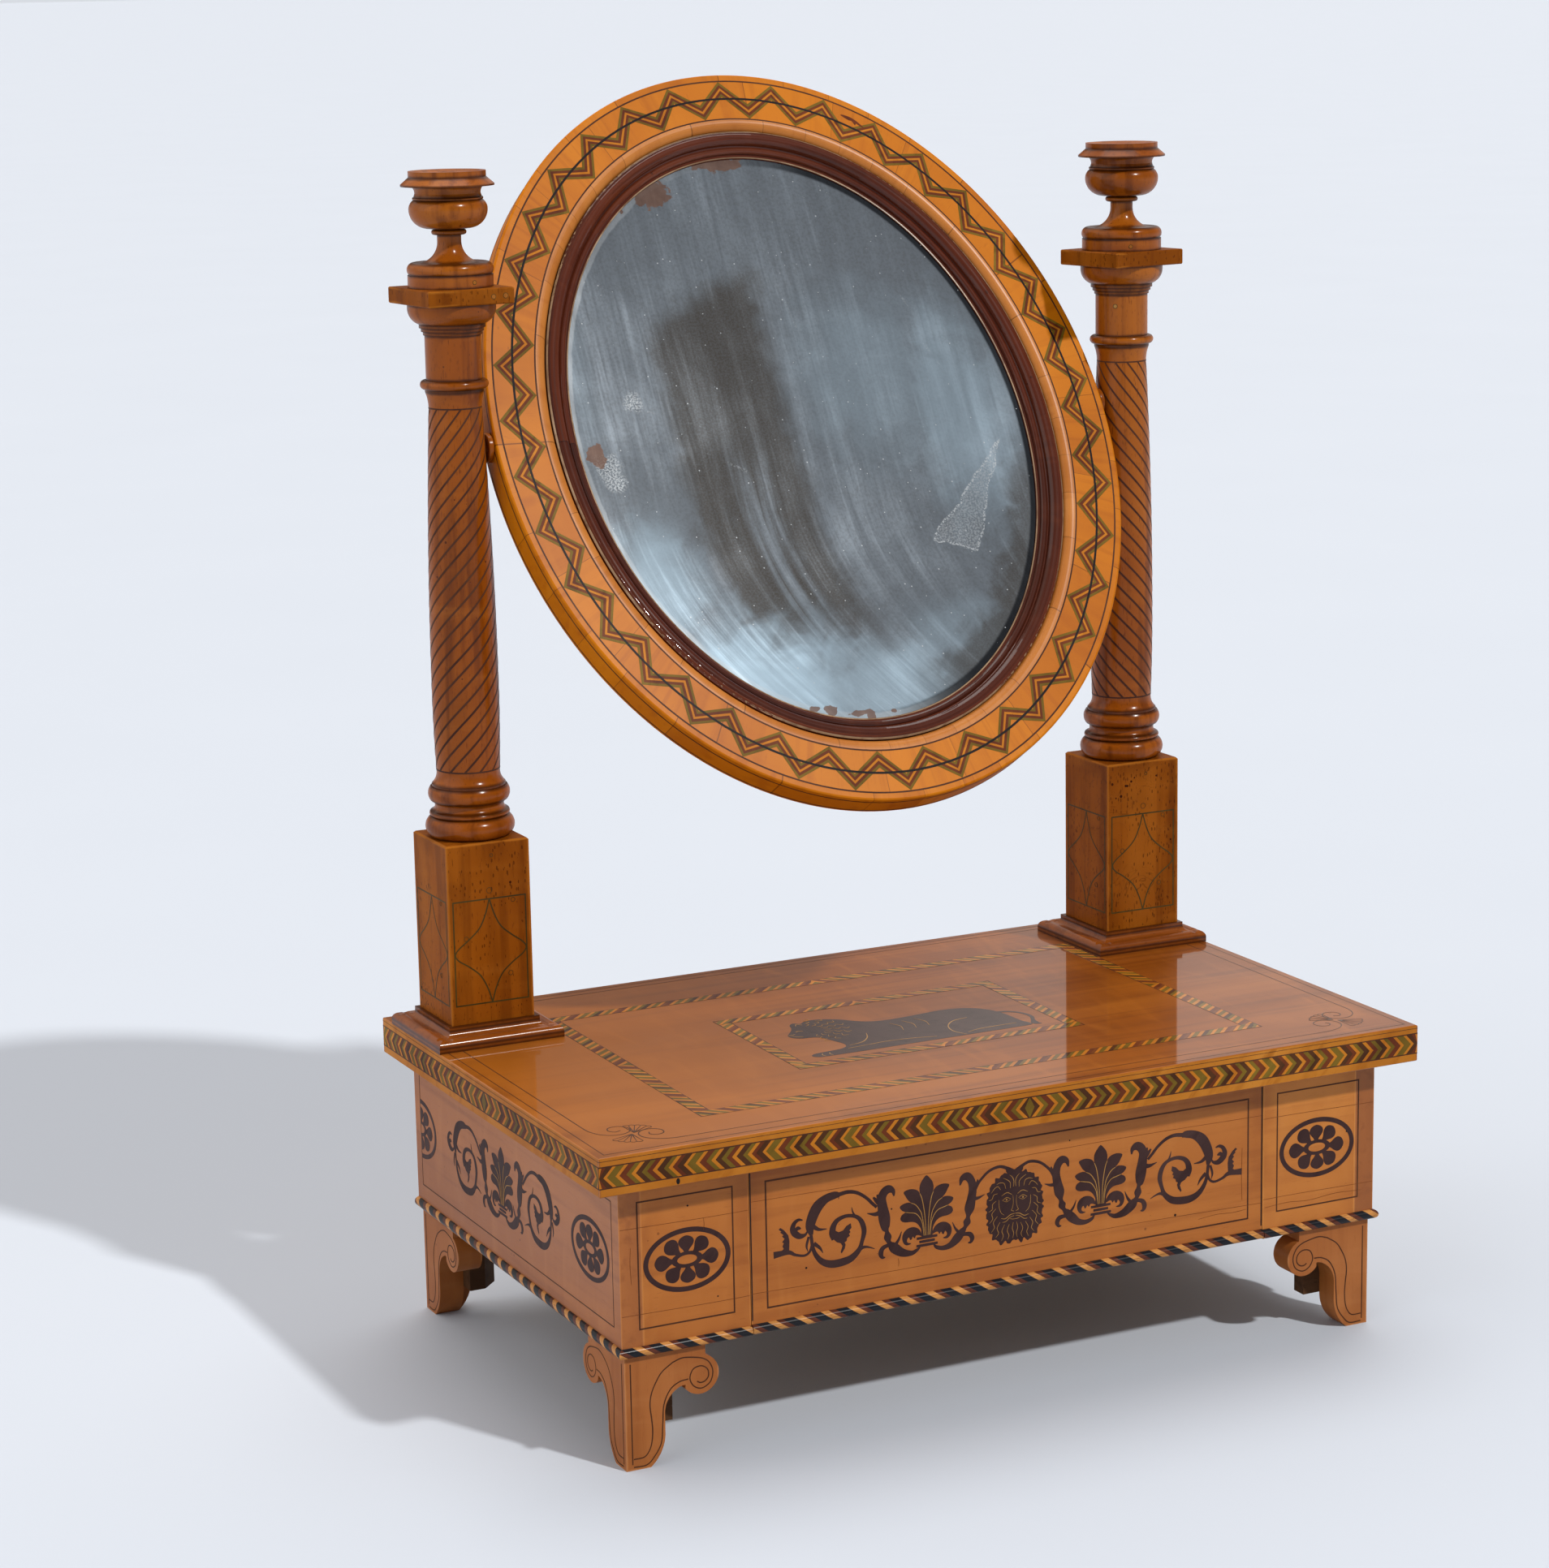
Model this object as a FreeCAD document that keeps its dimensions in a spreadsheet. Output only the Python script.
# Swing toilet mirror: an oval looking glass between two turned columns, on a stand with one drawer.
# Millimetres, +Z up. The origin is on the table, under the middle of the base top; -Y is the front.
import FreeCAD
import Part
import Sketcher

import math
import os

SIZES = {
    # Base top, with chevron banding let into its front and side edges
    "top_width": 480.0,
    "top_depth": 296.0,
    "top_thickness": 20.0,
    "top_edge_round": 0.8,
    "band_height": 11.0,
    "band_depth": 1.5,
    # Carcase below the top
    "front_overhang": 16.0,
    "side_overhang": 16.4,
    "back_overhang": 1.4,
    "carcase_height": 90.6,
    "side_thickness": 12.0,
    "front_thickness": 16.0,
    "back_thickness": 10.0,
    "bottom_thickness": 8.0,
    "partition_thickness": 12.0,
    # Half-round bead along the bottom of the carcase
    "bead_height": 5.2,
    "bead_projection": 2.5,
    # Drawer
    "opening_width": 305.0,
    "running_gap": 0.4,
    "drawer_side_thickness": 8.0,
    "drawer_headroom": 10.2,
    "drawer_back_thickness": 8.0,
    "drawer_bottom_thickness": 5.0,
    "drawer_bottom_lift": 4.8,
    "groove_depth": 4.0,
    "tail_count": 3.0,
    "tail_length": 11.0,
    "tail_width": 16.0,
    "tail_flare": 2.2,
    "stop_thickness": 6.0,
    "stop_width": 24.0,
    "stop_height": 12.0,
    # Bracket feet
    "foot_height": 60.0,
    "foot_inset": 1.7,
    "bracket_thickness": 14.0,
    "toe_width": 13.2,
    "toe_rise": 17.0,
    "leg_width": 21.6,
    "leg_rise": 27.0,
    "arch_height": 39.9,
    "arch_reach": 31.5,
    "hook_reach": 33.2,
    "scroll_radius": 10.3,
    "scroll_reach": 41.4,
    "scroll_lift": 44.0,
    "bracket_top": 44.5,
    "plain_bracket_top": 41.0,
    "block_size": 18.0,
    "block_chamfer": 9.0,
    # Column pedestal and the moulding round its foot
    "column_y": 97.7,
    "pedestal_width": 47.5,
    "pedestal_height": 109.3,
    "pedestal_chamfer": 0.9,
    "plinth_width": 72.0,
    "plinth_fillet": 2.8,
    "plinth_ogee": 6.0,
    "plinth_neck": 2.2,
    "plinth_waist": 60.0,
    "plinth_collar": 52.0,
    # Tenons turned on the column pieces
    "tenon_radius": 7.0,
    "foot_tenon_length": 13.0,
    "shaft_tenon_length": 18.0,
    "head_tenon_length": 13.0,
    "tenon_clearance": 0.1,
    "tenon_end_gap": 0.5,
    # Turned base of the column, upwards from the pedestal
    "base_ring_radius": 20.6,
    "lower_torus_radius": 24.0,
    "lower_torus_height": 11.4,
    "base_bead_radius": 21.6,
    "base_bead_height": 2.8,
    "scotia_radius": 18.5,
    "scotia_height": 5.4,
    "upper_torus_radius": 22.0,
    "upper_torus_height": 7.8,
    "base_fillet_height": 1.4,
    "base_fillet_radius": 19.8,
    "foot_sweep_height": 6.2,
    # Shaft with entasis
    "shaft_foot_radius": 17.0,
    "belly_rise": 45.0,
    "belly_radius": 17.9,
    "shaft_length": 195.0,
    "shaft_head_radius": 14.0,
    "head_sweep_height": 8.5,
    "collar_radius": 15.6,
    "collar_height": 1.2,
    # Neck and capital
    "astragal_radius": 18.1,
    "astragal_height": 5.0,
    "neck_radius": 14.8,
    "neck_length": 23.4,
    "annulet_radius": 15.5,
    "annulet_step": 1.0,
    "annulet_height": 1.9,
    "echinus_radius": 23.3,
    "echinus_height": 8.3,
    "capital_lip": 2.3,
    # Abacus, turned a little out of square on each column
    "abacus_width": 49.4,
    "abacus_height": 8.5,
    "abacus_chamfer": 0.6,
    "abacus_turn_left": 4.5,
    "abacus_turn_right": 9.5,
    # Urn finial on its drum
    "drum_radius": 22.4,
    "drum_height": 6.4,
    "drum_groove_radius": 21.6,
    "drum_groove_height": 0.6,
    "cushion_radius": 22.0,
    "cushion_height": 5.8,
    "cushion_swell": 2.2,
    "cushion_top_radius": 20.2,
    "urn_foot_radius": 19.4,
    "urn_foot_height": 10.7,
    "stem_radius": 6.3,
    "stem_height": 3.5,
    "knop_edge_radius": 7.6,
    "knop_radius": 9.2,
    "knop_height": 2.8,
    "knop_gap": 0.8,
    "bowl_foot_radius": 8.1,
    "bowl_radius": 20.6,
    "bowl_lower_height": 9.6,
    "bowl_upper_height": 4.8,
    "bowl_shoulder_radius": 18.2,
    "urn_bead_edge_radius": 17.8,
    "urn_bead_radius": 18.5,
    "urn_bead_height": 1.6,
    "urn_neck_radius": 17.2,
    "urn_neck_height": 5.6,
    "urn_lip_underside_radius": 19.0,
    "urn_lip_radius": 24.5,
    "urn_lip_edge": 0.9,
    "urn_lip_slope": 3.6,
    "urn_ring_radius": 20.3,
    "urn_ring_height": 3.2,
    "urn_mouth_radius": 17.6,
    "urn_mouth_depth": 3.0,
    # Mirror: an oval that swings on two pegs
    "mirror_tilt": 31.1,
    "pivot_rise": 207.1,
    "pivot_drop": 5.5,
    "mirror_half_width": 185.5,
    "mirror_half_height": 219.0,
    "frame_width": 35.3,
    "frame_thickness": 18.0,
    "frame_edge_round": 1.2,
    "frame_inner_round": 5.5,
    "slip_width": 14.2,
    "slip_sink": 2.0,
    "slip_bead_width": 5.0,
    "slip_bead_rise": 1.2,
    "slip_lip": 0.8,
    "glass_sink": 8.0,
    "glass_thickness": 3.0,
    "glass_lap": 4.2,
    "glass_clearance": 0.4,
    "backboard_thickness": 5.0,
    "backboard_clearance": 0.3,
    "brad_radius": 0.7,
    "brad_length": 11.0,
    "brad_bite": 6.0,
    "brad_count": 10.0,
    # Pivot pegs
    "journal_radius": 4.0,
    "journal_clearance": 0.05,
    "journal_end": 1.5,
    "peg_collar_radius": 8.0,
    "peg_collar_round": 0.8,
    "peg_collar_thickness": 3.1,
    "peg_gap": 0.3,
    "peg_tenon_radius": 5.0,
    "peg_tenon_length": 14.0,
}

doc = FreeCAD.newDocument("toilet_mirror")
sheet = doc.addObject("Spreadsheet::Sheet", "Dim")
for row, (alias, number) in enumerate(SIZES.items(), start=1):
    sheet.set(f"A{row}", alias)
    sheet.set(f"B{row}", str(number))
    sheet.setAlias(f"B{row}", alias)
doc.recompute()

# Levels and faces that several pieces share, as expressions over the sheet
CARCASE_Z = "Dim.foot_height"
TOP_Z = f"({CARCASE_Z} + Dim.carcase_height)"
COLUMN_Z = f"({TOP_Z} + Dim.top_thickness)"
SHAFT_Z = f"({COLUMN_Z} + Dim.pedestal_height)"
PIVOT_Z = f"({SHAFT_Z} + Dim.pivot_rise)"
FRONT_Y = "(-Dim.top_depth / 2 + Dim.front_overhang)"
BACK_Y = "(Dim.top_depth / 2 - Dim.back_overhang)"
SIDE_X = "(Dim.top_width / 2 - Dim.side_overhang)"
INNER_X = f"({SIDE_X} - Dim.side_thickness)"
OPENING_X = "(Dim.opening_width / 2)"
INNER_FRONT_Y = f"({FRONT_Y} + Dim.front_thickness)"
INNER_BACK_Y = f"({BACK_Y} - Dim.back_thickness)"
BOTTOM_TOP_Z = f"({CARCASE_Z} + Dim.bottom_thickness)"

# The shaft's belly above the pedestal, and its radius at the pivot on the arc from belly to head
BASE_TOP = (
    "(Dim.lower_torus_height + Dim.base_bead_height + Dim.scotia_height"
    " + Dim.upper_torus_height + Dim.base_fillet_height + Dim.foot_sweep_height)"
)
BELLY = f"({BASE_TOP} + Dim.belly_rise)"
SHAFT_FALL = "(Dim.belly_radius - Dim.shaft_head_radius)"
SHAFT_BEND = f"(({SHAFT_FALL} ^ 2 + (Dim.shaft_length - Dim.belly_rise) ^ 2) / (2 * {SHAFT_FALL}))"
PIVOT_RADIUS = f"(Dim.belly_radius - {SHAFT_BEND} + sqrt({SHAFT_BEND} ^ 2 - (Dim.pivot_rise - {BELLY}) ^ 2))"

# The columns stand clear of the mirror by the collars of its pegs
COLUMN_X = f"(Dim.mirror_half_width + Dim.peg_collar_thickness + Dim.peg_gap + {PIVOT_RADIUS})"

pieces = []


def value(expression):
    """The number that an expression over the sheet gives."""
    return float(sheet.evalExpression(expression))


def keep(piece, label):
    """Names a finished sub-part and puts it on the list of pieces."""
    piece.Label = label
    pieces.append(piece)
    return piece


def place(piece, x="0", y="0", z="0", turn=None, axis=(0, 0, 1)):
    """Binds a piece's place, and its turn in degrees about an axis, to the sheet."""
    if turn is not None:
        start = FreeCAD.Rotation(FreeCAD.Vector(*axis), 1)
        piece.Placement = FreeCAD.Placement(FreeCAD.Vector(), start)
        piece.setExpression("Placement.Rotation.Angle", f"({turn}) * 1 deg")
    for letter, expression in zip("xyz", (x, y, z)):
        piece.setExpression(f"Placement.Base.{letter}", expression)
    return piece


def board(name, low, size):
    """A rectangular board from its lowest corner and its size along X, Y and Z."""
    box = doc.addObject("Part::Box", name)
    for prop, expression in zip(("Length", "Width", "Height"), size):
        box.setExpression(prop, expression)
    return place(box, *low)


def cut(name, base, *tools):
    """The base with each tool's shape taken out of it."""
    for number, tool in enumerate(tools, start=1):
        step = doc.addObject("Part::Cut", f"{name}_cut_{number}")
        step.Base = base
        step.Tool = tool
        base = step
    return base


def group(name, members):
    """Separate solids kept together as one sub-part."""
    bundle = doc.addObject("Part::Compound", name)
    bundle.Links = members
    return bundle


def new_body(name):
    """An empty body for sketched features."""
    return doc.addObject("PartDesign::Body", f"{name}_body")


def new_sketch(body, name, plane, offset=None):
    """A sketch on one of the body's own origin planes, moved along the plane's normal by offset."""
    sketch = body.newObject("Sketcher::SketchObject", f"{body.Name}_{name}")
    support = [item for item in body.Origin.OriginFeatures if item.Role == plane]
    sketch.AttachmentSupport = (support[0], [""])
    sketch.MapMode = "FlatFace"
    if offset is not None:
        sketch.setExpression("AttachmentOffset.Base.z", offset)
    return sketch


def bind_distance(sketch, kind, geometry, position, expression):
    """Ties one coordinate of a sketch point to an expression; a plain 0 puts it on the axis."""
    if expression == "0":
        line = -2 if kind == "DistanceX" else -1
        sketch.addConstraint(Sketcher.Constraint("PointOnObject", geometry, position, line))
        return
    rule = Sketcher.Constraint(kind, -1, 1, geometry, position, value(expression))
    index = sketch.addConstraint(rule)
    sketch.setExpression(f"Constraints[{index}]", expression)


def bind_size(sketch, kind, expression, *where):
    """Ties a length or radius in a sketch to an expression."""
    index = sketch.addConstraint(Sketcher.Constraint(kind, *where, value(expression)))
    sketch.setExpression(f"Constraints[{index}]", expression)


def line_to(x, y):
    """A step of an outline: a straight line to a point."""
    return {"kind": "line", "point": (x, y)}


def arc_to(x, y, turn, centre_x=None, centre_y=None):
    """A step of an outline: an arc to a point, with one coordinate of its centre given."""
    return {"kind": "arc", "point": (x, y), "turn": turn, "centre": (centre_x, centre_y)}


def arc_centre(first, last, known_x, known_y):
    """The centre that is as far from both ends of an arc, from one known coordinate."""
    (x0, y0), (x1, y1) = first, last
    squares = (x1**2 + y1**2 - x0**2 - y0**2) / 2
    if known_y is None:
        return known_x, (squares - known_x * (x1 - x0)) / (y1 - y0)
    return (squares - known_y * (y1 - y0)) / (x1 - x0), known_y


def draw_arc(sketch, first, last, step):
    """Adds one arc; returns its geometry number and which of its ends the outline enters and leaves by."""
    known_x, known_y = (None if item is None else value(item) for item in step["centre"])
    centre_x, centre_y = arc_centre(first, last, known_x, known_y)
    ends = [first, last] if step["turn"] == "ccw" else [last, first]
    angles = [math.atan2(y - centre_y, x - centre_x) for x, y in ends]
    if angles[1] <= angles[0]:
        angles[1] += 2 * math.pi
    radius = math.hypot(first[0] - centre_x, first[1] - centre_y)
    circle = Part.Circle(FreeCAD.Vector(centre_x, centre_y, 0), FreeCAD.Vector(0, 0, 1), radius)
    geometry = sketch.addGeometry(Part.ArcOfCircle(circle, *angles))
    entry, leave = (1, 2) if step["turn"] == "ccw" else (2, 1)
    return geometry, entry, leave


def draw(sketch, start, steps):
    """A closed outline of lines and arcs. Every corner is a pair of expressions over the sheet."""
    corners = [start] + [step["point"] for step in steps]
    places = [tuple(value(item) for item in corner) for corner in corners]
    closing = line_to(*start)
    joints = []
    for number, step in enumerate(steps + [closing]):
        first = places[number]
        last = places[number + 1] if number + 1 < len(places) else places[0]
        if step["kind"] == "arc":
            joints.append(draw_arc(sketch, first, last, step))
            continue
        segment = Part.LineSegment(FreeCAD.Vector(*first, 0), FreeCAD.Vector(*last, 0))
        joints.append((sketch.addGeometry(segment), 1, 2))
    for number, (geometry, entry, leave) in enumerate(joints):
        following = joints[(number + 1) % len(joints)]
        rule = Sketcher.Constraint("Coincident", geometry, leave, following[0], following[1])
        sketch.addConstraint(rule)
    for (geometry, entry, leave), (x, y) in zip(joints, corners):
        bind_distance(sketch, "DistanceX", geometry, entry, x)
        bind_distance(sketch, "DistanceY", geometry, entry, y)
    for (geometry, entry, leave), step in zip(joints, steps):
        if step["kind"] == "arc":
            centre_x, centre_y = step["centre"]
            if centre_y is None:
                bind_distance(sketch, "DistanceX", geometry, 3, centre_x)
            else:
                bind_distance(sketch, "DistanceY", geometry, 3, centre_y)
    return sketch


def rectangle(sketch, half_x, half_y):
    """A rectangle centred on the sketch's origin."""
    corners = [(half_x, f"-({half_y})"), (half_x, half_y), (f"-({half_x})", half_y)]
    return draw(sketch, (f"-({half_x})", f"-({half_y})"), [line_to(*corner) for corner in corners])


def circle(sketch, x, y, radius):
    """A circle whose centre and radius follow the sheet."""
    centre = FreeCAD.Vector(value(x), value(y), 0)
    ring = Part.Circle(centre, FreeCAD.Vector(0, 0, 1), value(radius))
    geometry = sketch.addGeometry(ring)
    bind_distance(sketch, "DistanceX", geometry, 3, x)
    bind_distance(sketch, "DistanceY", geometry, 3, y)
    bind_size(sketch, "Radius", radius, geometry)
    return sketch


def oval(sketch, half_width, half_height):
    """An upright ellipse centred on the sketch's origin."""
    tall = FreeCAD.Vector(0, value(half_height), 0)
    wide = FreeCAD.Vector(value(half_width), 0, 0)
    geometry = sketch.addGeometry(Part.Ellipse(tall, wide, FreeCAD.Vector()))
    sketch.exposeInternalGeometry(geometry)
    major, minor = geometry + 1, geometry + 2
    sketch.addConstraint(Sketcher.Constraint("Coincident", geometry, 3, -1, 1))
    sketch.addConstraint(Sketcher.Constraint("Vertical", major))
    bind_size(sketch, "Distance", f"2 * ({half_height})", major)
    bind_size(sketch, "Distance", f"2 * ({half_width})", minor)
    return sketch


def extrude(body, kind, sketch, length=None, both_ways=False, backwards=False):
    """A pad or pocket of a sketch; a pocket with no length goes right through."""
    doc.recompute()
    feature = body.newObject(f"PartDesign::{kind}", f"{sketch.Name}_{kind.lower()}")
    feature.Profile = sketch
    feature.SideType = "Symmetric" if both_ways else "One side"
    feature.Reversed = backwards
    if length is None:
        feature.Type = "ThroughAll"
    else:
        feature.setExpression("Length", length)
    doc.recompute()
    return feature


def pocket(body, sketch, length=None, both_ways=False, backwards=False):
    """A pocket, with a test that it took something away."""
    before = body.Shape.Volume
    feature = extrude(body, "Pocket", sketch, length, both_ways, backwards)
    if body.Shape.Volume > before - 1e-3:
        raise ValueError(f"{sketch.Name} cuts nothing")
    return feature


def spin(body, sketch, axis):
    """A full turn of a half outline about one of the body's axes."""
    doc.recompute()
    line = [item for item in body.Origin.OriginFeatures if item.Role == axis]
    feature = body.newObject("PartDesign::Revolution", f"{sketch.Name}_turned")
    feature.Profile = sketch
    feature.ReferenceAxis = (line[0], [""])
    feature.Angle = 360
    doc.recompute()
    return feature


def dress(body, kind, edges, size):
    """A fillet or chamfer on the edges for which the test holds."""
    base = body.Tip
    names = [f"Edge{number}" for number, edge in enumerate(body.Shape.Edges, start=1) if edges(edge)]
    feature = body.newObject(f"PartDesign::{kind}", f"{base.Name}_{kind.lower()}")
    feature.Base = (base, names)
    feature.setExpression("Radius" if kind == "Fillet" else "Size", size)
    doc.recompute()
    return feature


def bulge_centre(edge, peak, height):
    """The radius at which an arc's centre lies, from its end radius, its peak radius and its height."""
    rise = f"({peak} - {edge})"
    return f"({peak} - ({rise} ^ 2 + ({height} / 2) ^ 2) / (2 * {rise}))"


def stack(*heights):
    """Levels reached by heights piled one on another, as expressions."""
    levels = []
    for height in heights:
        below = f"{levels[-1]} + " if levels else ""
        levels.append(f"{below}Dim.{height}")
    return levels


def build_top():
    """The base top, with sockets for the columns, and the banding in its edges."""
    half_width = "Dim.top_width / 2"
    half_depth = "Dim.top_depth / 2"
    body = new_body("top")
    plan = rectangle(new_sketch(body, "plan", "XY_Plane"), half_width, half_depth)
    extrude(body, "Pad", plan, "Dim.top_thickness")
    sockets = new_sketch(body, "sockets", "XY_Plane", "Dim.top_thickness")
    for side in ("-", ""):
        circle(sockets, f"{side}{COLUMN_X}", "Dim.column_y", "Dim.tenon_radius + Dim.tenon_clearance")
    pocket(body, sockets, "Dim.foot_tenon_length + Dim.tenon_end_gap")
    thickness = value("Dim.top_thickness")
    dress(body, "Fillet", lambda edge: rim_edge(edge, thickness), "Dim.top_edge_round")
    place(body, z=TOP_Z)

    band_z = f"{TOP_Z} + (Dim.top_thickness - Dim.band_height) / 2"
    side_size = ("Dim.band_depth", "Dim.top_depth - Dim.band_depth", "Dim.band_height")
    side_y = f"-{half_depth} + Dim.band_depth"
    front_size = ("Dim.top_width", "Dim.band_depth", "Dim.band_height")
    front = board("band_front", (f"-{half_width}", f"-{half_depth}", band_z), front_size)
    left = board("band_left", (f"-{half_width}", side_y, band_z), side_size)
    right = board("band_right", (f"{half_width} - Dim.band_depth", side_y, band_z), side_size)
    keep(cut("base_top", body, front, left, right), "base_top")
    keep(front, "edge_band_front")
    keep(left, "edge_band_left")
    keep(right, "edge_band_right")


def rim_edge(edge, thickness):
    """True for the straight edges round a board's top and bottom."""
    box = edge.BoundBox
    level = box.ZMax - box.ZMin < 1e-6
    return level and isinstance(edge.Curve, Part.Line) and min(box.ZMin, abs(box.ZMin - thickness)) < 1e-6


def build_carcase():
    """The box under the top: sides, back, bottom, fixed front panels, partitions and drawer stops."""
    depth = f"{BACK_Y} - {FRONT_Y}"
    inner_depth = f"{INNER_BACK_Y} - {INNER_FRONT_Y}"
    inner_width = f"2 * {INNER_X}"
    panel_width = f"{INNER_X} - {OPENING_X}"
    for side, low_x in (("left", f"-{SIDE_X}"), ("right", INNER_X)):
        size = ("Dim.side_thickness", depth, "Dim.carcase_height")
        keep(board(f"side_{side}", (low_x, FRONT_Y, CARCASE_Z), size), f"carcase_side_{side}")
    back_size = (inner_width, "Dim.back_thickness", "Dim.carcase_height")
    keep(board("back", (f"-{INNER_X}", INNER_BACK_Y, CARCASE_Z), back_size), "carcase_back")
    bottom_size = (inner_width, inner_depth, "Dim.bottom_thickness")
    keep(board("bottom", (f"-{INNER_X}", INNER_FRONT_Y, CARCASE_Z), bottom_size), "carcase_bottom")
    for side, low_x in (("left", f"-{INNER_X}"), ("right", OPENING_X)):
        size = (panel_width, "Dim.front_thickness", "Dim.carcase_height")
        keep(board(f"panel_{side}", (low_x, FRONT_Y, CARCASE_Z), size), f"front_panel_{side}")
    for side, low_x in (("left", f"-{OPENING_X} - Dim.partition_thickness"), ("right", OPENING_X)):
        size = ("Dim.partition_thickness", inner_depth, f"{TOP_Z} - {BOTTOM_TOP_Z}")
        wall = board(f"partition_{side}", (low_x, INNER_FRONT_Y, BOTTOM_TOP_Z), size)
        keep(wall, f"drawer_partition_{side}")
    stops = []
    stop_y = f"{INNER_BACK_Y} - Dim.stop_thickness"
    for side, low_x in (("left", f"-{OPENING_X}"), ("right", f"{OPENING_X} - Dim.stop_width")):
        size = ("Dim.stop_width", "Dim.stop_thickness", "Dim.stop_height")
        stops.append(board(f"stop_{side}", (low_x, stop_y, BOTTOM_TOP_Z), size))
    keep(group("stops", stops), "drawer_stops")


def build_bead(label, length, mitre_ends):
    """A length of half-round bead along +X, its flat back at y = 0; a mitred end runs on past the corner."""
    body = new_body(label)
    low = "-Dim.bead_projection" if "start" in mitre_ends else "0"
    run = length
    for _ in mitre_ends:
        run = f"{run} + Dim.bead_projection"
    section = new_sketch(body, "section", "YZ_Plane", low)
    centre = f"-{bulge_centre('0', 'Dim.bead_projection', 'Dim.bead_height')}"
    draw(section, ("0", "Dim.bead_height"), [arc_to("0", "0", "ccw", centre_x=centre)])
    extrude(body, "Pad", section, run)
    if "start" in mitre_ends:
        corner = new_sketch(body, "start_mitre", "XY_Plane")
        far = "-Dim.bead_projection"
        pocket(body, draw(corner, ("0", "0"), [line_to(far, "0"), line_to(far, far)]), both_ways=True)
    if "end" in mitre_ends:
        corner = new_sketch(body, "end_mitre", "XY_Plane")
        far = f"{length} + Dim.bead_projection"
        triangle = [line_to(far, "0"), line_to(far, "-Dim.bead_projection")]
        pocket(body, draw(corner, (length, "0"), triangle), both_ways=True)
    return keep(body, label)


def build_beads():
    """The fixed lengths of bead on the carcase."""
    depth = f"{BACK_Y} - {FRONT_Y}"
    front = f"{SIDE_X} - {OPENING_X}"
    place(build_bead("bead_front_left", front, ["start"]), f"-{SIDE_X}", FRONT_Y, CARCASE_Z)
    place(build_bead("bead_front_right", front, ["end"]), OPENING_X, FRONT_Y, CARCASE_Z)
    place(build_bead("bead_left", depth, ["end"]), f"-{SIDE_X}", BACK_Y, CARCASE_Z, turn="-90")
    place(build_bead("bead_right", depth, ["start"]), SIDE_X, FRONT_Y, CARCASE_Z, turn="90")


def tail_points(middle):
    """Corners of one dovetail, from its upper shoulder round its wider tip to its lower shoulder."""
    low = f"{middle} - Dim.tail_width / 2"
    high = f"{middle} + Dim.tail_width / 2"
    return [
        line_to("0", high),
        line_to("-Dim.tail_length", f"{high} + Dim.tail_flare"),
        line_to("-Dim.tail_length", f"{low} - Dim.tail_flare"),
        line_to("0", low),
    ]


def build_drawer():
    """The drawer: a front lapped over dovetailed sides, a back between them and a bottom in grooves."""
    half = f"({OPENING_X} - Dim.running_gap)"
    low_z = f"({BOTTOM_TOP_Z} + Dim.running_gap)"
    end_y = f"({INNER_BACK_Y} - Dim.stop_thickness - Dim.running_gap)"
    shoulder_y = f"({INNER_FRONT_Y} - Dim.running_gap)"
    side_height = f"({TOP_Z} - {low_z} - Dim.drawer_headroom)"
    pitch = f"{side_height} / Dim.tail_count"

    sides = {}
    for side, low_x in (("left", f"-{half}"), ("right", f"{half} - Dim.drawer_side_thickness")):
        body = new_body(f"drawer_side_{side}")
        outline = [line_to(f"{end_y} - {shoulder_y}", "0")]
        outline.append(line_to(f"{end_y} - {shoulder_y}", side_height))
        outline.append(line_to("0", side_height))
        for number in reversed(range(int(value("Dim.tail_count")))):
            outline.extend(tail_points(f"({number} + 0.5) * {pitch}"))
        plan = draw(new_sketch(body, "outline", "YZ_Plane"), ("0", "0"), outline)
        extrude(body, "Pad", plan, "Dim.drawer_side_thickness")
        sides[side] = place(body, low_x, shoulder_y, low_z)

    bottom_z = f"{low_z} + Dim.drawer_bottom_lift"
    inner_half = f"({half} - Dim.drawer_side_thickness)"
    bottom_low = (f"-{inner_half} - Dim.groove_depth", f"{shoulder_y} - Dim.groove_depth", bottom_z)
    bottom_size = (
        f"2 * {inner_half} + 2 * Dim.groove_depth",
        f"{end_y} - {shoulder_y} + Dim.groove_depth",
        "Dim.drawer_bottom_thickness",
    )
    bottom = board("drawer_floor", bottom_low, bottom_size)

    front_low = (f"-{half}", FRONT_Y, f"{CARCASE_Z} + Dim.running_gap")
    front_size = (f"2 * {half}", f"{shoulder_y} - {FRONT_Y}", "Dim.carcase_height - 2 * Dim.running_gap")
    block = board("drawer_front_block", front_low, front_size)
    keep(cut("drawer_front", block, sides["left"], sides["right"], bottom), "drawer_front")
    for side, body in sides.items():
        keep(cut(f"drawer_side_{side}", body, bottom), f"drawer_side_{side}")
    keep(bottom, "drawer_bottom")

    back_z = f"{bottom_z} + Dim.drawer_bottom_thickness"
    back_low = (f"-{inner_half}", f"{end_y} - Dim.drawer_back_thickness", back_z)
    back_height = f"{side_height} - Dim.drawer_bottom_lift - Dim.drawer_bottom_thickness"
    back_size = (f"2 * {inner_half}", "Dim.drawer_back_thickness", back_height)
    keep(board("drawer_rear", back_low, back_size), "drawer_back")

    bead = build_bead("drawer_bead", f"2 * {half}", [])
    place(bead, f"-{half}", FRONT_Y, f"{CARCASE_Z} + Dim.running_gap")


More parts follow.
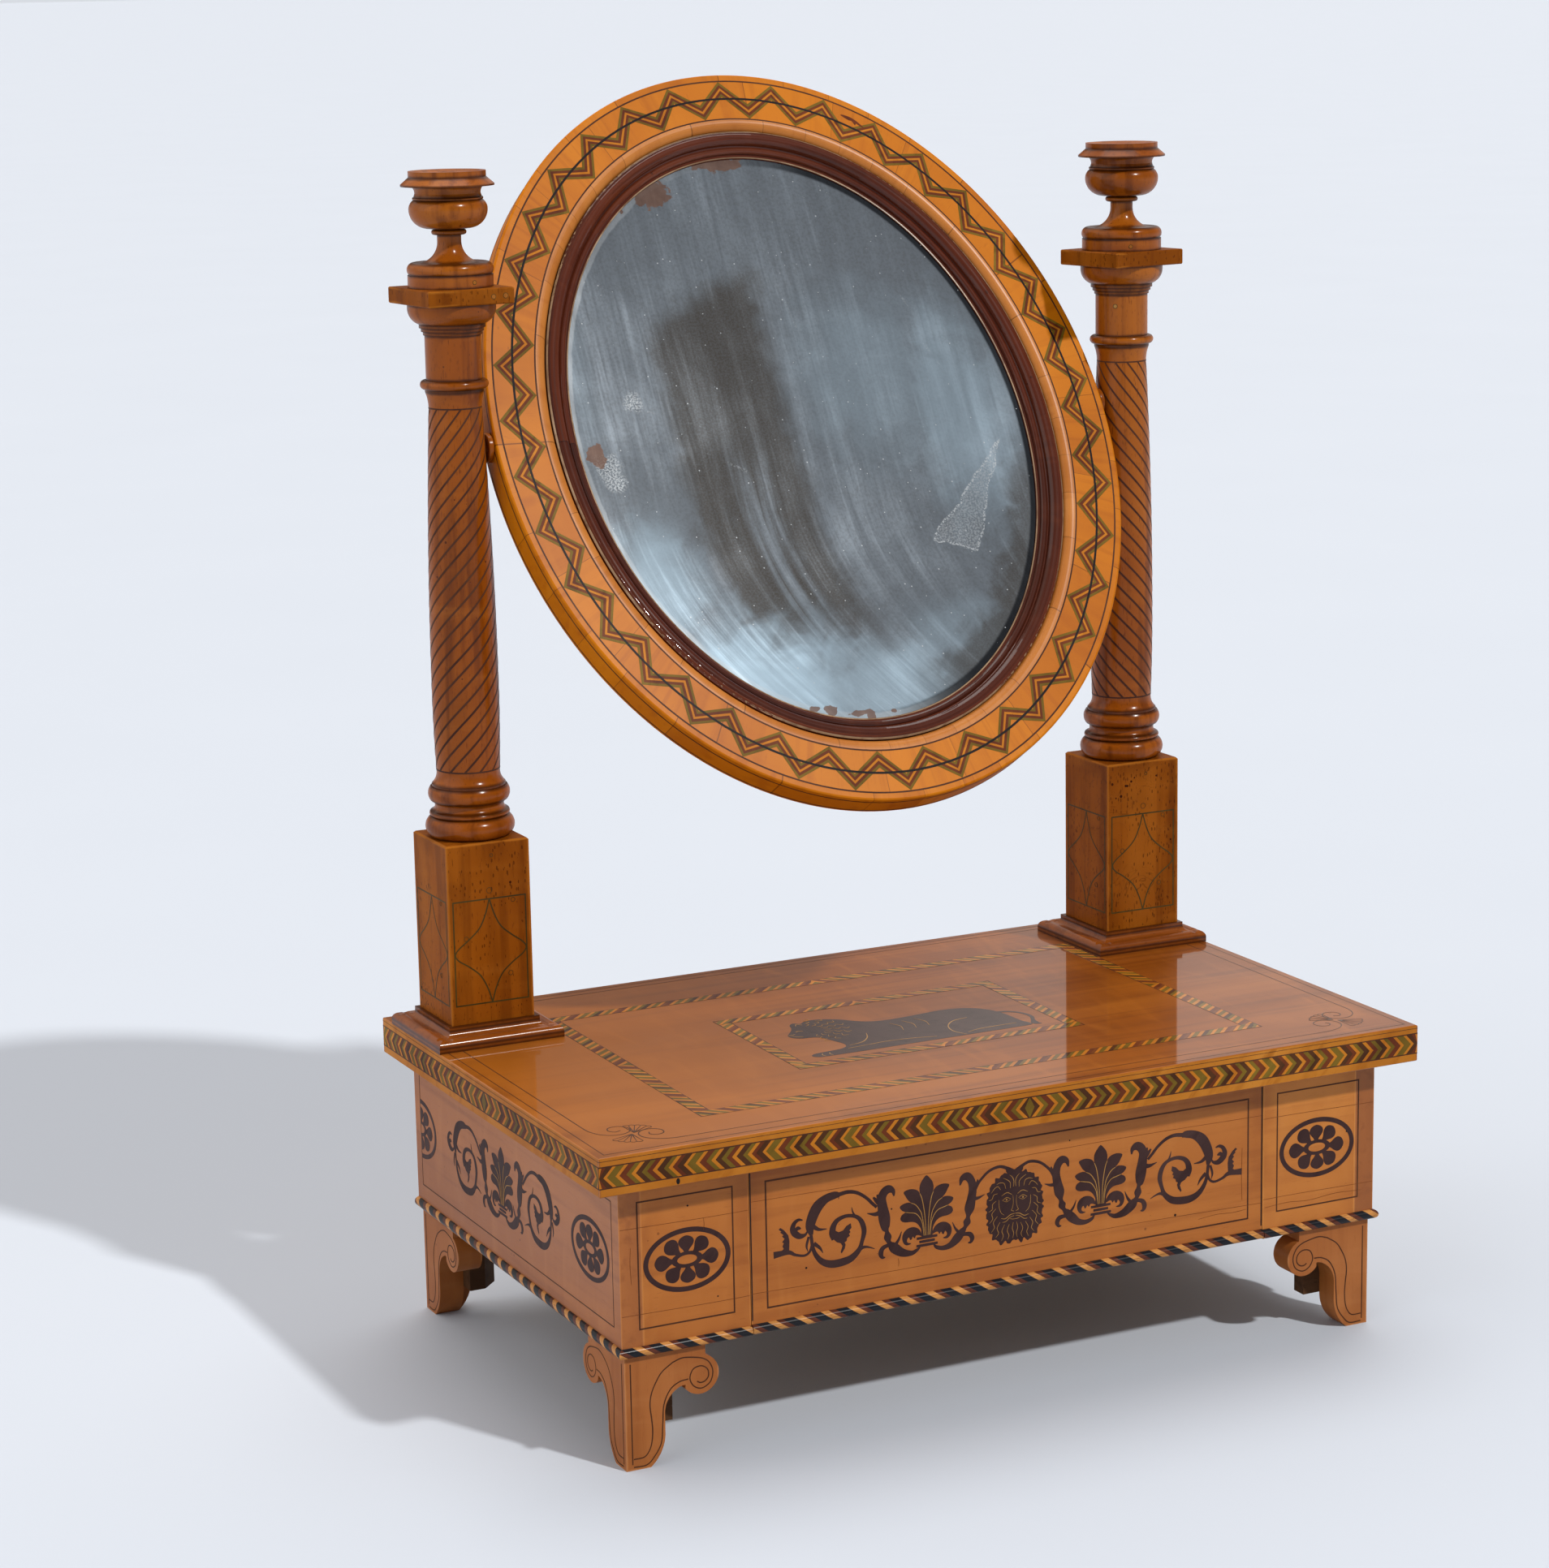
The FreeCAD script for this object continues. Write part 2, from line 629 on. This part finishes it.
def scrolled_outline(hand):
    """The outline of a scrolled foot bracket: toe, leg, arch, hook and volute. Hand -1 mirrors it."""
    side = "-" if hand < 0 else ""
    out, back = ("ccw", "cw") if hand > 0 else ("cw", "ccw")
    scroll_x = f"{side}Dim.scroll_reach"
    dip = "sqrt(Dim.scroll_radius ^ 2 - (Dim.scroll_reach - Dim.hook_reach) ^ 2)"
    crown = "sqrt(Dim.scroll_radius ^ 2 - (Dim.bracket_top - Dim.scroll_reach) ^ 2)"
    return [
        line_to(f"{side}Dim.toe_width", "0"),
        arc_to(f"{side}Dim.leg_width", "Dim.toe_rise", out, centre_y="Dim.toe_rise"),
        line_to(f"{side}Dim.leg_width", "Dim.leg_rise"),
        arc_to(f"{side}Dim.arch_reach", "Dim.arch_height", back, centre_y="Dim.leg_rise"),
        line_to(f"{side}Dim.hook_reach", "Dim.arch_height"),
        line_to(f"{side}Dim.hook_reach", f"Dim.scroll_lift - {dip}"),
        arc_to(f"{side}Dim.bracket_top", f"Dim.scroll_lift + {crown}", out, centre_x=scroll_x),
        line_to(f"{side}Dim.bracket_top", "Dim.foot_height"),
        line_to("0", "Dim.foot_height"),
    ]


def plain_outline(hand):
    """The outline of a plain back bracket: the same toe and leg, with one sweep up to the carcase."""
    side = "-" if hand < 0 else ""
    out, back = ("ccw", "cw") if hand > 0 else ("cw", "ccw")
    return [
        line_to(f"{side}Dim.toe_width", "0"),
        arc_to(f"{side}Dim.leg_width", "Dim.toe_rise", out, centre_y="Dim.toe_rise"),
        line_to(f"{side}Dim.leg_width", "Dim.leg_rise"),
        arc_to(f"{side}Dim.plain_bracket_top", "Dim.foot_height", back, centre_y="Dim.leg_rise"),
        line_to("0", "Dim.foot_height"),
    ]


def build_bracket(label, outline, hand):
    """A foot bracket with its outer face at y = 0 and its end mitred at the corner of the foot."""
    side = "-" if hand < 0 else ""
    body = new_body(label)
    face = draw(new_sketch(body, "face", "XZ_Plane"), ("0", "0"), outline(hand))
    extrude(body, "Pad", face, "Dim.bracket_thickness", backwards=True)
    corner = new_sketch(body, "mitre", "XY_Plane")
    inner = "Dim.bracket_thickness"
    draw(corner, ("0", "0"), [line_to("0", inner), line_to(f"{side}{inner}", inner)])
    pocket(body, corner, both_ways=True)
    return keep(body, label)


def build_feet():
    """Four bracket feet, each of two mitred brackets and a glue block in their corner."""
    corner_x = f"({SIDE_X} - Dim.foot_inset)"
    front_y = f"({FRONT_Y} + Dim.foot_inset)"
    back_y = f"({BACK_Y} - Dim.foot_inset)"
    for side, sign, x in (("left", 1, f"-{corner_x}"), ("right", -1, corner_x)):
        face = build_bracket(f"foot_front_{side}_face", scrolled_outline, sign)
        place(face, x, front_y)
        return_piece = build_bracket(f"foot_front_{side}_return", scrolled_outline, -sign)
        place(return_piece, x, front_y, turn=f"{-90 * sign}")
        rear_return = build_bracket(f"foot_back_{side}_return", scrolled_outline, sign)
        place(rear_return, x, back_y, turn=f"{-90 * sign}")
        rear = build_bracket(f"foot_back_{side}_rear", plain_outline, -sign)
        place(rear, x, back_y, turn="180")
        front_turn, back_turn = ("0", "270") if sign > 0 else ("90", "180")
        place(build_glue_block(f"foot_block_front_{side}"), x, front_y, turn=front_turn)
        place(build_glue_block(f"foot_block_back_{side}"), x, back_y, turn=back_turn)


def build_glue_block(label):
    """A block glued behind two brackets, with its free corner taken off and its end clear of the table."""
    near = "Dim.bracket_thickness"
    far = f"({near} + Dim.block_size)"
    body = new_body(label)
    plan = new_sketch(body, "plan", "XY_Plane", "Dim.toe_rise")
    cheek = f"{far} - Dim.block_chamfer"
    corners = [(far, near), (far, cheek), (cheek, far), (near, far)]
    draw(plan, (near, near), [line_to(*corner) for corner in corners])
    extrude(body, "Pad", plan, "Dim.foot_height - Dim.toe_rise")
    return keep(body, label)


def build_pedestal(side, x):
    """The square pedestal, its tenon in the base top and the moulding mitred round its foot."""
    half = "Dim.pedestal_width / 2"
    socket_radius = "Dim.tenon_radius + Dim.tenon_clearance"
    body = new_body(f"pedestal_{side}")
    extrude(body, "Pad", rectangle(new_sketch(body, "plan", "XY_Plane"), half, half), "Dim.pedestal_height")
    height = value("Dim.pedestal_height")
    dress(body, "Chamfer", lambda edge: abs(edge.BoundBox.ZMin - height) < 1e-6, "Dim.pedestal_chamfer")
    tenon = circle(new_sketch(body, "tenon", "XY_Plane"), "0", "0", "Dim.tenon_radius")
    extrude(body, "Pad", tenon, "Dim.foot_tenon_length", backwards=True)
    socket = circle(new_sketch(body, "socket", "XY_Plane", "Dim.pedestal_height"), "0", "0", socket_radius)
    pocket(body, socket, "Dim.shaft_tenon_length + Dim.tenon_end_gap")
    place(body, x, "Dim.column_y", COLUMN_Z)

    runs = []
    for plane in ("XZ_Plane", "YZ_Plane"):
        run = new_body(f"plinth_{side}_{plane[:2].lower()}")
        section = plinth_section(new_sketch(run, "section", plane))
        extrude(run, "Pad", section, "Dim.plinth_width", both_ways=True)
        runs.append(place(run, x, "Dim.column_y", COLUMN_Z))
    mitred = doc.addObject("Part::Common", f"plinth_{side}_mitred")
    mitred.Base, mitred.Tool = runs
    keep(cut(f"plinth_{side}", mitred, body), f"plinth_moulding_{side}")
    keep(body, f"pedestal_{side}")


def plinth_section(sketch):
    """The plinth moulding from side to side: a fillet, an ogee in two arcs and a narrow collar."""
    low = "Dim.plinth_fillet"
    middle = f"{low} + Dim.plinth_ogee / 2"
    high = f"{low} + Dim.plinth_ogee"
    top = f"{high} + Dim.plinth_neck"
    wide = "Dim.plinth_width / 2"
    waist = "Dim.plinth_waist / 2"
    collar = "Dim.plinth_collar / 2"
    right = [
        line_to(wide, "0"),
        line_to(wide, low),
        arc_to(waist, middle, "ccw", centre_y=low),
        arc_to(collar, high, "cw", centre_y=high),
        line_to(collar, top),
    ]
    left = [
        line_to(f"-{collar}", top),
        line_to(f"-{collar}", high),
        arc_to(f"-{waist}", middle, "cw", centre_y=high),
        arc_to(f"-{wide}", low, "ccw", centre_y=low),
    ]
    return draw(sketch, (f"-{wide}", "0"), right + left)


def ring_member(name):
    """The arc centre's radius for one moulding of the column's base."""
    return bulge_centre("Dim.base_ring_radius", f"Dim.{name}_radius", f"Dim.{name}_height")


def shaft_outline():
    """Half the outline of a column: base, swelling shaft, astragal, neck, capital and two tenons."""
    (torus, bead, scotia, upper, fillet, sweep, head, collar_low, collar, astragal, neck) = stack(
        "lower_torus_height", "base_bead_height", "scotia_height", "upper_torus_height",
        "base_fillet_height", "foot_sweep_height", "shaft_length", "head_sweep_height",
        "collar_height", "astragal_height", "neck_length",
    )
    ring = "Dim.base_ring_radius"
    tenon = "Dim.tenon_radius"
    astragal_centre = bulge_centre("Dim.collar_radius", "Dim.astragal_radius", "Dim.astragal_height")
    outline = [
        line_to(tenon, "-Dim.shaft_tenon_length"),
        line_to(tenon, "0"),
        line_to(ring, "0"),
        arc_to(ring, torus, "ccw", centre_x=ring_member("lower_torus")),
        arc_to(ring, bead, "ccw", centre_x=ring_member("base_bead")),
        arc_to(ring, scotia, "cw", centre_x=ring_member("scotia")),
        arc_to(ring, upper, "ccw", centre_x=ring_member("upper_torus")),
        line_to("Dim.base_fillet_radius", upper),
        line_to("Dim.base_fillet_radius", fillet),
        arc_to("Dim.shaft_foot_radius", sweep, "cw", centre_y=sweep),
        arc_to("Dim.belly_radius", BELLY, "ccw", centre_y=BELLY),
        arc_to("Dim.shaft_head_radius", head, "ccw", centre_y=BELLY),
        arc_to("Dim.collar_radius", collar_low, "cw", centre_y=head),
        line_to("Dim.collar_radius", collar),
        arc_to("Dim.collar_radius", astragal, "ccw", centre_x=astragal_centre),
        line_to("Dim.neck_radius", astragal),
        line_to("Dim.neck_radius", neck),
    ]
    level = neck
    for step in range(3):
        radius = f"Dim.annulet_radius + {step} * Dim.annulet_step"
        outline.append(line_to(radius, level))
        level = f"{level} + Dim.annulet_height"
        outline.append(line_to(radius, level))
    ovolo = f"{level} + Dim.echinus_height"
    lip = f"{ovolo} + Dim.capital_lip"
    outline.extend([
        arc_to("Dim.echinus_radius", ovolo, "ccw", centre_y=ovolo),
        line_to("Dim.echinus_radius", lip),
        line_to(tenon, lip),
        line_to(tenon, f"{lip} + Dim.abacus_height + Dim.head_tenon_length"),
        line_to("0", f"{lip} + Dim.abacus_height + Dim.head_tenon_length"),
    ])
    return outline, lip


def build_shaft(side, x, turn):
    """One turned column shaft, with the bore for the mirror's pivot on the side that faces the mirror."""
    outline, lip = shaft_outline()
    body = new_body(f"shaft_{side}")
    half = draw(new_sketch(body, "half", "XZ_Plane"), ("0", "-Dim.shaft_tenon_length"), outline)
    spin(body, half, "Z_Axis")
    bore = new_sketch(body, "bore", "YZ_Plane")
    circle(bore, "0", "Dim.pivot_rise", "Dim.journal_radius + Dim.journal_clearance")
    pocket(body, bore, "Dim.belly_radius", backwards=True)
    keep(body, f"column_shaft_{side}")
    place(body, x, "Dim.column_y", SHAFT_Z, turn=turn)
    return f"({SHAFT_Z} + {lip})"


def build_abacus(side, x, z, turn):
    """The square tile on the capital, pierced for the shaft's tenon."""
    half = "Dim.abacus_width / 2"
    body = new_body(f"abacus_{side}")
    extrude(body, "Pad", rectangle(new_sketch(body, "plan", "XY_Plane"), half, half), "Dim.abacus_height")
    dress(body, "Chamfer", lambda edge: True, "Dim.abacus_chamfer")
    hole = circle(new_sketch(body, "hole", "XY_Plane"), "0", "0", "Dim.tenon_radius + Dim.tenon_clearance")
    pocket(body, hole, both_ways=True)
    keep(body, f"abacus_{side}")
    place(body, x, "Dim.column_y", z, turn=turn)


def finial_outline():
    """Half the outline of an urn finial: drum, cushion, foot, stem, knop, bowl, neck, lip and mouth."""
    (drum, groove, cushion, foot, stem, knop, gap, belly, shoulder, bead, neck) = stack(
        "drum_height", "drum_groove_height", "cushion_height", "urn_foot_height",
        "stem_height", "knop_height", "knop_gap", "bowl_lower_height",
        "bowl_upper_height", "urn_bead_height", "urn_neck_height",
    )
    lip = f"{neck} + Dim.urn_lip_edge"
    slope = f"{lip} + Dim.urn_lip_slope"
    top = f"{slope} + Dim.urn_ring_height"
    swell = f"{groove} + Dim.cushion_swell"
    knop_centre = bulge_centre("Dim.knop_edge_radius", "Dim.knop_radius", "Dim.knop_height")
    bead_centre = bulge_centre("Dim.urn_bead_edge_radius", "Dim.urn_bead_radius", "Dim.urn_bead_height")
    neck_middle = f"{bead} + Dim.urn_neck_height / 3"
    dish_rise = "(Dim.urn_mouth_radius ^ 2 - Dim.urn_mouth_depth ^ 2) / (2 * Dim.urn_mouth_depth)"
    socket = "Dim.tenon_radius + Dim.tenon_clearance"
    socket_top = "Dim.head_tenon_length + Dim.tenon_end_gap"
    return (socket, "0"), [
        line_to("Dim.drum_radius", "0"),
        line_to("Dim.drum_radius", drum),
        line_to("Dim.drum_groove_radius", drum),
        line_to("Dim.drum_groove_radius", groove),
        line_to("Dim.cushion_radius", groove),
        arc_to("Dim.cushion_top_radius", cushion, "ccw", centre_y=swell),
        line_to("Dim.urn_foot_radius", cushion),
        arc_to("Dim.stem_radius", foot, "cw", centre_y=foot),
        line_to("Dim.stem_radius", stem),
        line_to("Dim.knop_edge_radius", stem),
        arc_to("Dim.knop_edge_radius", knop, "ccw", centre_x=knop_centre),
        line_to("Dim.bowl_foot_radius", gap),
        arc_to("Dim.bowl_radius", belly, "ccw", centre_y=belly),
        arc_to("Dim.bowl_shoulder_radius", shoulder, "ccw", centre_y=belly),
        line_to("Dim.urn_bead_edge_radius", shoulder),
        arc_to("Dim.urn_bead_edge_radius", bead, "ccw", centre_x=bead_centre),
        line_to("Dim.urn_neck_radius", neck_middle),
        arc_to("Dim.urn_lip_underside_radius", neck, "cw", centre_y=neck_middle),
        line_to("Dim.urn_lip_radius", neck),
        line_to("Dim.urn_lip_radius", lip),
        line_to("Dim.urn_ring_radius", slope),
        line_to("Dim.urn_ring_radius", top),
        line_to("Dim.urn_mouth_radius", top),
        arc_to("0", f"{top} - Dim.urn_mouth_depth", "cw", centre_y=f"{top} + {dish_rise}"),
        line_to("0", socket_top),
        line_to(socket, socket_top),
    ]


def build_finial(side, x, z):
    """One turned urn finial, bored for the shaft's upper tenon."""
    body = new_body(f"finial_{side}")
    start, outline = finial_outline()
    spin(body, draw(new_sketch(body, "half", "XZ_Plane"), start, outline), "Z_Axis")
    keep(body, f"urn_finial_{side}")
    place(body, x, "Dim.column_y", z)


def build_columns():
    """Both columns, and the pegs on which the mirror swings."""
    for side, x, turn in (("left", f"-{COLUMN_X}", "0"), ("right", COLUMN_X, "180")):
        build_pedestal(side, x)
        abacus_z = build_shaft(side, x, turn)
        build_abacus(side, x, abacus_z, f"Dim.abacus_turn_{side}")
        build_finial(side, x, f"{abacus_z} + Dim.abacus_height")
        build_peg(side, x, turn)


def build_peg(side, x, turn):
    """A turned pivot peg along X: a journal in the column, a rounded collar, a tenon in the frame."""
    collar_start = f"{PIVOT_RADIUS} + Dim.peg_gap"
    collar_end = f"{collar_start} + Dim.peg_collar_thickness"
    tip = f"{collar_end} + Dim.peg_tenon_length"
    edge = "Dim.peg_collar_radius - Dim.peg_collar_round"
    start_round = f"{collar_start} + Dim.peg_collar_round"
    end_round = f"{collar_end} - Dim.peg_collar_round"
    body = new_body(f"peg_{side}")
    outline = [
        line_to(tip, "0"),
        line_to(tip, "Dim.peg_tenon_radius"),
        line_to(collar_end, "Dim.peg_tenon_radius"),
        line_to(collar_end, edge),
        arc_to(end_round, "Dim.peg_collar_radius", "ccw", centre_x=end_round),
        line_to(start_round, "Dim.peg_collar_radius"),
        arc_to(collar_start, edge, "ccw", centre_x=start_round),
        line_to(collar_start, "Dim.journal_radius"),
        line_to("Dim.journal_end", "Dim.journal_radius"),
    ]
    half = draw(new_sketch(body, "half", "XY_Plane"), ("Dim.journal_end", "0"), outline)
    spin(body, half, "X_Axis")
    keep(body, f"pivot_peg_{side}")
    place(body, x, "Dim.column_y", PIVOT_Z, turn=turn)


def lean(piece):
    """Places a mirror piece, made about the oval's centre, at the mirror's tilt about the pivot."""
    tilt = "(Dim.mirror_tilt * 1 deg)"
    y = f"Dim.column_y - Dim.pivot_drop * sin({tilt})"
    z = f"{PIVOT_Z} - Dim.pivot_drop * cos({tilt})"
    return place(piece, "0", y, z, turn="-Dim.mirror_tilt", axis=(1, 0, 0))


def oval_plate(name, inset, back, thickness):
    """A flat oval plate, inset from the frame's outline, with its back face at y = back."""
    body = new_body(name)
    outline = new_sketch(body, "outline", "XZ_Plane", f"-({back})")
    oval(outline, f"Dim.mirror_half_width - ({inset})", f"Dim.mirror_half_height - ({inset})")
    extrude(body, "Pad", outline, thickness)
    return body


def build_mirror():
    """The oval mirror: frame, sight moulding, glass, backboard and the brads that hold it."""
    face = "(-Dim.frame_thickness / 2)"
    frame = new_body("frame")
    ring = new_sketch(frame, "ring", "XZ_Plane")
    oval(ring, "Dim.mirror_half_width", "Dim.mirror_half_height")
    oval(ring, "Dim.mirror_half_width - Dim.frame_width", "Dim.mirror_half_height - Dim.frame_width")
    extrude(frame, "Pad", ring, "Dim.frame_thickness", both_ways=True)
    outer = value("Dim.mirror_half_width")
    face_y = value(face)
    dress(frame, "Fillet", lambda edge: oval_edge(edge, outer), "Dim.frame_edge_round")
    inner = value("Dim.mirror_half_width - Dim.frame_width")
    dress(frame, "Fillet", lambda edge: oval_edge(edge, inner, face_y), "Dim.frame_inner_round")
    seat = "Dim.mirror_half_width - Dim.peg_tenon_length - Dim.tenon_end_gap"
    for name, offset, backwards in (("left", f"-({seat})", False), ("right", seat, True)):
        hole = new_sketch(frame, f"seat_{name}", "YZ_Plane", offset)
        circle(hole, "0", "Dim.pivot_drop", "Dim.peg_tenon_radius + Dim.tenon_clearance")
        pocket(frame, hole, "Dim.peg_tenon_length * 2", backwards=backwards)
    keep(lean(frame), "mirror_frame")

    glass_front = f"({face} + Dim.glass_sink)"
    glass_back = f"({glass_front} + Dim.glass_thickness)"
    keep(lean(build_slip(face, glass_front, glass_back)), "sight_moulding")
    glass_inset = "Dim.frame_width + Dim.slip_width - Dim.glass_lap + Dim.glass_clearance"
    keep(lean(oval_plate("glass", glass_inset, glass_back, "Dim.glass_thickness")), "looking_glass")
    board_inset = "Dim.frame_width + Dim.backboard_clearance"
    board_back = f"({glass_back} + Dim.backboard_thickness)"
    keep(lean(oval_plate("backboard", board_inset, board_back, "Dim.backboard_thickness")), "backboard")
    build_brads(board_back)


def oval_edge(edge, half_width, level=None):
    """True for an oval edge of that half width, at that level along Y when one is given."""
    if not isinstance(edge.Curve, Part.Ellipse) or abs(edge.Curve.MinorRadius - half_width) > 1e-3:
        return False
    return level is None or abs(edge.CenterOfMass.y - level) < 1e-3


def build_slip(face, glass_front, glass_back):
    """The moulding round the glass, swept along the frame's inner oval, with a rebate for the glass."""
    outer = "(Dim.mirror_half_width - Dim.frame_width)"
    inner = f"({outer} - Dim.slip_width)"
    bead_end = f"({outer} - Dim.slip_bead_width)"
    top = f"({face} + Dim.slip_sink)"
    lip = f"({glass_front} - Dim.slip_lip)"
    bead_bend = "((Dim.slip_bead_rise ^ 2 + (Dim.slip_bead_width / 2) ^ 2) / (2 * Dim.slip_bead_rise))"
    body = new_body("slip")
    path = oval(new_sketch(body, "path", "XZ_Plane"), outer, "Dim.mirror_half_height - Dim.frame_width")
    section = new_sketch(body, "section", "XY_Plane")
    rebate = f"({inner} + Dim.glass_lap)"
    outline = [
        line_to(rebate, glass_back),
        line_to(rebate, glass_front),
        line_to(inner, glass_front),
        line_to(inner, lip),
        arc_to(bead_end, top, "cw", centre_x=f"{inner} - Dim.slip_width / 4"),
        arc_to(outer, top, "ccw", centre_y=f"{top} - Dim.slip_bead_rise + {bead_bend}"),
    ]
    draw(section, (outer, glass_back), outline)
    doc.recompute()
    pipe = body.newObject("PartDesign::AdditivePipe", "slip_sweep")
    pipe.Profile = section
    pipe.Spine = (path, ["Edge1"])
    pipe.Mode = "Frenet"
    doc.recompute()
    return body


def build_brads(board_back):
    """Brads driven through the back of the rebate into the frame, evenly round the oval."""
    count = int(value("Dim.brad_count"))
    rim_x = "(Dim.mirror_half_width - Dim.frame_width + Dim.brad_bite - Dim.brad_length)"
    rim_z = "(Dim.mirror_half_height - Dim.frame_width + Dim.brad_bite - Dim.brad_length)"
    level = f"{board_back} + Dim.brad_radius"
    brads = []
    for number in range(count):
        angle = 360.0 * (number + 0.5) / count
        brad = doc.addObject("Part::Cylinder", f"brad_{number}")
        brad.setExpression("Radius", "Dim.brad_radius")
        brad.setExpression("Height", "Dim.brad_length")
        x = f"{rim_x} * cos({angle} deg)"
        z = f"{rim_z} * sin({angle} deg)"
        brads.append(place(brad, x, level, z, turn=f"{90 - angle}", axis=(0, 1, 0)))
    keep(lean(group("brads", brads)), "backboard_brads")


def check_and_write():
    """Stops on any failed object or bad shape, then writes each piece to its own file."""
    doc.recompute()
    for item in doc.Objects:
        if "Invalid" in item.State or "Error" in item.State:
            raise ValueError(f"{item.Name} failed: {item.State}")
    for piece in pieces:
        if piece.Shape.isNull() or not piece.Shape.isValid() or not piece.Shape.Solids:
            raise ValueError(f"{piece.Label} has no valid solid")
    os.makedirs("parts", exist_ok=True)
    for piece in pieces:
        piece.Shape.exportStep(f"parts/{piece.Label}.step")
    print(f"{len(pieces)} pieces written")


build_top()
build_carcase()
build_beads()
build_drawer()
build_feet()
build_columns()
build_mirror()
check_and_write()
